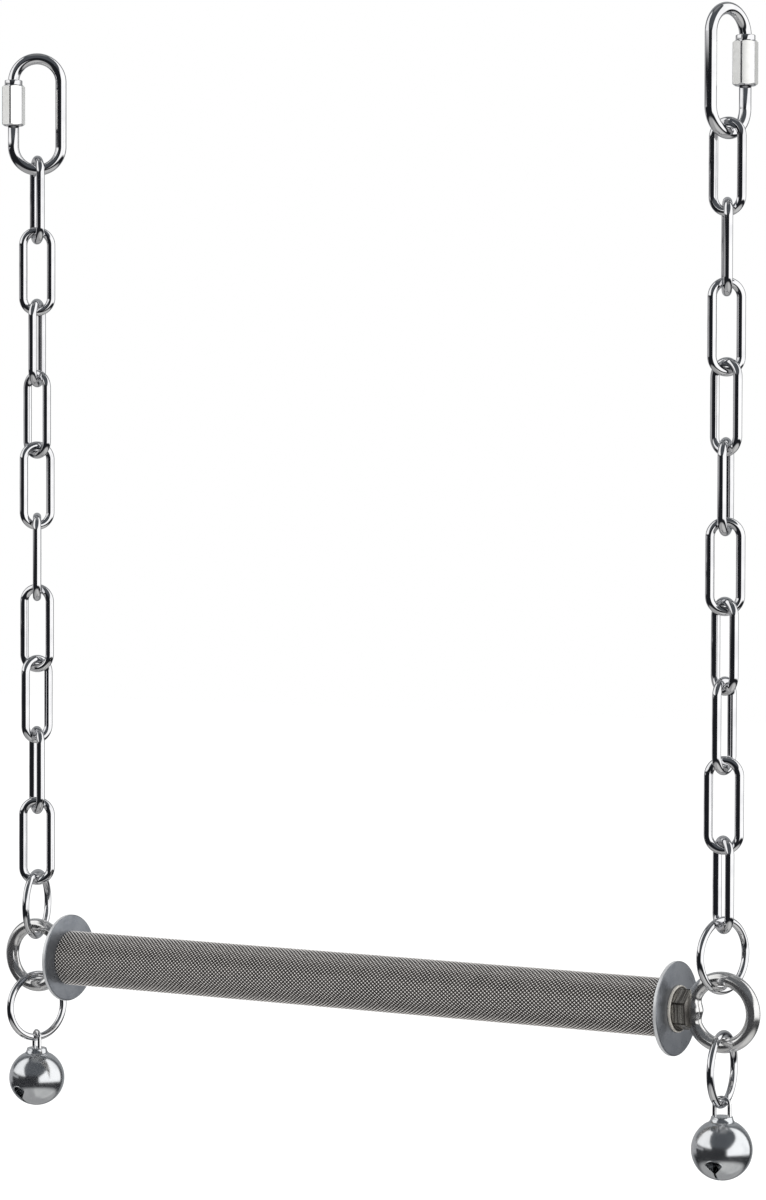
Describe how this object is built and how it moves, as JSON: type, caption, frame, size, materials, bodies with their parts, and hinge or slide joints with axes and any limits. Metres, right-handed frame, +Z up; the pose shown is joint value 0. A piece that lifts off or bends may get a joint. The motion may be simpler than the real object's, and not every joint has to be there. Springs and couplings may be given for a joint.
{
  "type": "bird perch swing",
  "caption": "Hanging bird perch: a knurled steel bar on link chains, with end washers, eye bolts and jingle bells, clipped up by quick links with screw sleeves.",
  "frame": {"origin": "inner crown of the left quick link, the point that rests on the hook", "axes": "+X along the perch bar from the left chain to the right chain, +Y to the back, +Z up"},
  "size_m": [0.3014, 0.031, 0.3805],
  "materials": {
    "polished_steel": "polished stainless round wire",
    "knurled_steel": "diamond knurl over the whole bar",
    "satin_steel": "satin stamped washer with bright edges",
    "grey_steel": "smooth grey steel",
    "bell_steel": "bright plated thin sheet and wire"
  },
  "bodies": {
    "quick_links": {"quick_link_left": "polished_steel", "quick_link_right": "polished_steel"},
    "chain_link_left_01": {"chain_link_left_01": "polished_steel"},
    "chain_link_left_02": {"chain_link_left_02": "polished_steel"},
    "chain_link_left_03": {"chain_link_left_03": "polished_steel"},
    "chain_link_left_04": {"chain_link_left_04": "polished_steel"},
    "chain_link_left_05": {"chain_link_left_05": "polished_steel"},
    "chain_link_left_06": {"chain_link_left_06": "polished_steel"},
    "chain_link_left_07": {"chain_link_left_07": "polished_steel"},
    "chain_link_left_08": {"chain_link_left_08": "polished_steel"},
    "chain_link_left_09": {"chain_link_left_09": "polished_steel"},
    "chain_link_left_10": {"chain_link_left_10": "polished_steel"},
    "chain_ring_left": {"chain_ring_left": "polished_steel"},
    "chain_link_right_01": {"chain_link_right_01": "polished_steel"},
    "chain_link_right_02": {"chain_link_right_02": "polished_steel"},
    "chain_link_right_03": {"chain_link_right_03": "polished_steel"},
    "chain_link_right_04": {"chain_link_right_04": "polished_steel"},
    "chain_link_right_05": {"chain_link_right_05": "polished_steel"},
    "chain_link_right_06": {"chain_link_right_06": "polished_steel"},
    "chain_link_right_07": {"chain_link_right_07": "polished_steel"},
    "chain_link_right_08": {"chain_link_right_08": "polished_steel"},
    "chain_link_right_09": {"chain_link_right_09": "polished_steel"},
    "chain_link_right_10": {"chain_link_right_10": "polished_steel"},
    "chain_ring_right": {"chain_ring_right": "polished_steel"},
    "perch": {"perch_bar": "knurled_steel", "lock_nut": "grey_steel", "end_washer_left": "satin_steel", "eye_bolt_left": "grey_steel", "end_washer_right": "satin_steel", "eye_bolt_right": "grey_steel"},
    "bell_ring_left": {"bell_ring_left": "polished_steel"},
    "bell_left": {"bell_shell_left": "bell_steel", "bell_loop_left": "bell_steel"},
    "clapper_left": {"bell_clapper_left": "bell_steel"},
    "sleeve_nut_left": {"sleeve_nut_left": "polished_steel"},
    "bell_ring_right": {"bell_ring_right": "polished_steel"},
    "bell_right": {"bell_shell_right": "bell_steel", "bell_loop_right": "bell_steel"},
    "clapper_right": {"bell_clapper_right": "bell_steel"},
    "sleeve_nut_right": {"sleeve_nut_right": "polished_steel"}
  },
  "joints": [
    {"name": "left_link_01_hinge", "type": "hinge", "parent": "quick_links", "child": "chain_link_left_01", "pos_m": [0, 0, -0.03612], "axis": [1, 0, 0], "range_deg": [-15, 15]},
    {"name": "left_link_02_hinge", "type": "hinge", "parent": "chain_link_left_01", "child": "chain_link_left_02", "pos_m": [0, 0, -0.06244], "axis": [1, 0, 0], "range_deg": [-10, 10]},
    {"name": "left_link_03_hinge", "type": "hinge", "parent": "chain_link_left_02", "child": "chain_link_left_03", "pos_m": [0, 0, -0.08819], "axis": [1, 0, 0], "range_deg": [-10, 10]},
    {"name": "left_link_04_hinge", "type": "hinge", "parent": "chain_link_left_03", "child": "chain_link_left_04", "pos_m": [0, 0, -0.11231], "axis": [1, 0, 0], "range_deg": [-10, 10]},
    {"name": "left_link_05_hinge", "type": "hinge", "parent": "chain_link_left_04", "child": "chain_link_left_05", "pos_m": [0, 0, -0.1405], "axis": [1, 0, 0], "range_deg": [-10, 10]},
    {"name": "left_link_06_hinge", "type": "hinge", "parent": "chain_link_left_05", "child": "chain_link_left_06", "pos_m": [0, 0, -0.16381], "axis": [1, 0, 0], "range_deg": [-10, 10]},
    {"name": "left_link_07_hinge", "type": "hinge", "parent": "chain_link_left_06", "child": "chain_link_left_07", "pos_m": [0, 0, -0.19037], "axis": [1, 0, 0], "range_deg": [-10, 10]},
    {"name": "left_link_08_hinge", "type": "hinge", "parent": "chain_link_left_07", "child": "chain_link_left_08", "pos_m": [0, 0, -0.21775], "axis": [1, 0, 0], "range_deg": [-10, 10]},
    {"name": "left_link_09_hinge", "type": "hinge", "parent": "chain_link_left_08", "child": "chain_link_left_09", "pos_m": [0, 0, -0.24025], "axis": [1, 0, 0], "range_deg": [-10, 10]},
    {"name": "left_link_10_hinge", "type": "hinge", "parent": "chain_link_left_09", "child": "chain_link_left_10", "pos_m": [0, 0, -0.26844], "axis": [1, 0, 0], "range_deg": [-10, 10]},
    {"name": "left_chain_ring_hinge", "type": "hinge", "parent": "chain_link_left_10", "child": "chain_ring_left", "pos_m": [0, 0, -0.295], "axis": [1, 0, 0], "range_deg": [-12, 12]},
    {"name": "right_link_01_hinge", "type": "hinge", "parent": "quick_links", "child": "chain_link_right_01", "pos_m": [0.275, 0, -0.03612], "axis": [1, 0, 0], "range_deg": [-15, 15]},
    {"name": "right_link_02_hinge", "type": "hinge", "parent": "chain_link_right_01", "child": "chain_link_right_02", "pos_m": [0.275, 0, -0.06244], "axis": [1, 0, 0], "range_deg": [-10, 10]},
    {"name": "right_link_03_hinge", "type": "hinge", "parent": "chain_link_right_02", "child": "chain_link_right_03", "pos_m": [0.275, 0, -0.08819], "axis": [1, 0, 0], "range_deg": [-10, 10]},
    {"name": "right_link_04_hinge", "type": "hinge", "parent": "chain_link_right_03", "child": "chain_link_right_04", "pos_m": [0.275, 0, -0.11231], "axis": [1, 0, 0], "range_deg": [-10, 10]},
    {"name": "right_link_05_hinge", "type": "hinge", "parent": "chain_link_right_04", "child": "chain_link_right_05", "pos_m": [0.275, 0, -0.1405], "axis": [1, 0, 0], "range_deg": [-10, 10]},
    {"name": "right_link_06_hinge", "type": "hinge", "parent": "chain_link_right_05", "child": "chain_link_right_06", "pos_m": [0.275, 0, -0.16381], "axis": [1, 0, 0], "range_deg": [-10, 10]},
    {"name": "right_link_07_hinge", "type": "hinge", "parent": "chain_link_right_06", "child": "chain_link_right_07", "pos_m": [0.275, 0, -0.19037], "axis": [1, 0, 0], "range_deg": [-10, 10]},
    {"name": "right_link_08_hinge", "type": "hinge", "parent": "chain_link_right_07", "child": "chain_link_right_08", "pos_m": [0.275, 0, -0.21775], "axis": [1, 0, 0], "range_deg": [-10, 10]},
    {"name": "right_link_09_hinge", "type": "hinge", "parent": "chain_link_right_08", "child": "chain_link_right_09", "pos_m": [0.275, 0, -0.24025], "axis": [1, 0, 0], "range_deg": [-10, 10]},
    {"name": "right_link_10_hinge", "type": "hinge", "parent": "chain_link_right_09", "child": "chain_link_right_10", "pos_m": [0.275, 0, -0.26844], "axis": [1, 0, 0], "range_deg": [-10, 10]},
    {"name": "right_chain_ring_hinge", "type": "hinge", "parent": "chain_link_right_10", "child": "chain_ring_right", "pos_m": [0.275, 0, -0.295], "axis": [1, 0, 0], "range_deg": [-12, 12]},
    {"name": "perch_hinge", "type": "hinge", "parent": "chain_ring_left", "child": "perch", "pos_m": [0, 0, -0.31105], "axis": [1, 0, 0], "range_deg": [-60, 60]},
    {"name": "left_bell_ring_hinge", "type": "hinge", "parent": "perch", "child": "bell_ring_left", "pos_m": [0, 0, -0.33285], "axis": [1, 0, 0], "range_deg": [-35, 35]},
    {"name": "left_bell_hinge", "type": "hinge", "parent": "bell_ring_left", "child": "bell_left", "pos_m": [0, 0, -0.3497], "axis": [0.848, -0.5299, 0], "range_deg": [-35, 35]},
    {"name": "left_clapper_slide", "type": "slide", "parent": "bell_left", "child": "clapper_left", "axis": [0, 0, 1], "range_m": [0, 0.0105]},
    {"name": "left_sleeve_nut_slide", "type": "slide", "parent": "quick_links", "child": "sleeve_nut_left", "axis": [0, 0, 1], "range_m": [-0.007, 0]},
    {"name": "right_bell_ring_hinge", "type": "hinge", "parent": "perch", "child": "bell_ring_right", "pos_m": [0.275, 0, -0.33285], "axis": [1, 0, 0], "range_deg": [-35, 35]},
    {"name": "right_bell_hinge", "type": "hinge", "parent": "bell_ring_right", "child": "bell_right", "pos_m": [0.275, 0, -0.3497], "axis": [0.9945, 0.1045, 0], "range_deg": [-35, 35]},
    {"name": "right_clapper_slide", "type": "slide", "parent": "bell_right", "child": "clapper_right", "axis": [0, 0, 1], "range_m": [0, 0.0105]},
    {"name": "right_sleeve_nut_slide", "type": "slide", "parent": "quick_links", "child": "sleeve_nut_right", "axis": [0, 0, 1], "range_m": [-0.007, 0]}
  ],
  "couplings": [
    {"joint": "right_link_01_hinge", "follows": "left_link_01_hinge", "ratio": 1},
    {"joint": "right_link_02_hinge", "follows": "left_link_02_hinge", "ratio": 1},
    {"joint": "right_link_03_hinge", "follows": "left_link_03_hinge", "ratio": 1},
    {"joint": "right_link_04_hinge", "follows": "left_link_04_hinge", "ratio": 1},
    {"joint": "right_link_05_hinge", "follows": "left_link_05_hinge", "ratio": 1},
    {"joint": "right_link_06_hinge", "follows": "left_link_06_hinge", "ratio": 1},
    {"joint": "right_link_07_hinge", "follows": "left_link_07_hinge", "ratio": 1},
    {"joint": "right_link_08_hinge", "follows": "left_link_08_hinge", "ratio": 1},
    {"joint": "right_link_09_hinge", "follows": "left_link_09_hinge", "ratio": 1},
    {"joint": "right_link_10_hinge", "follows": "left_link_10_hinge", "ratio": 1},
    {"joint": "right_chain_ring_hinge", "follows": "left_chain_ring_hinge", "ratio": 1}
  ]
}
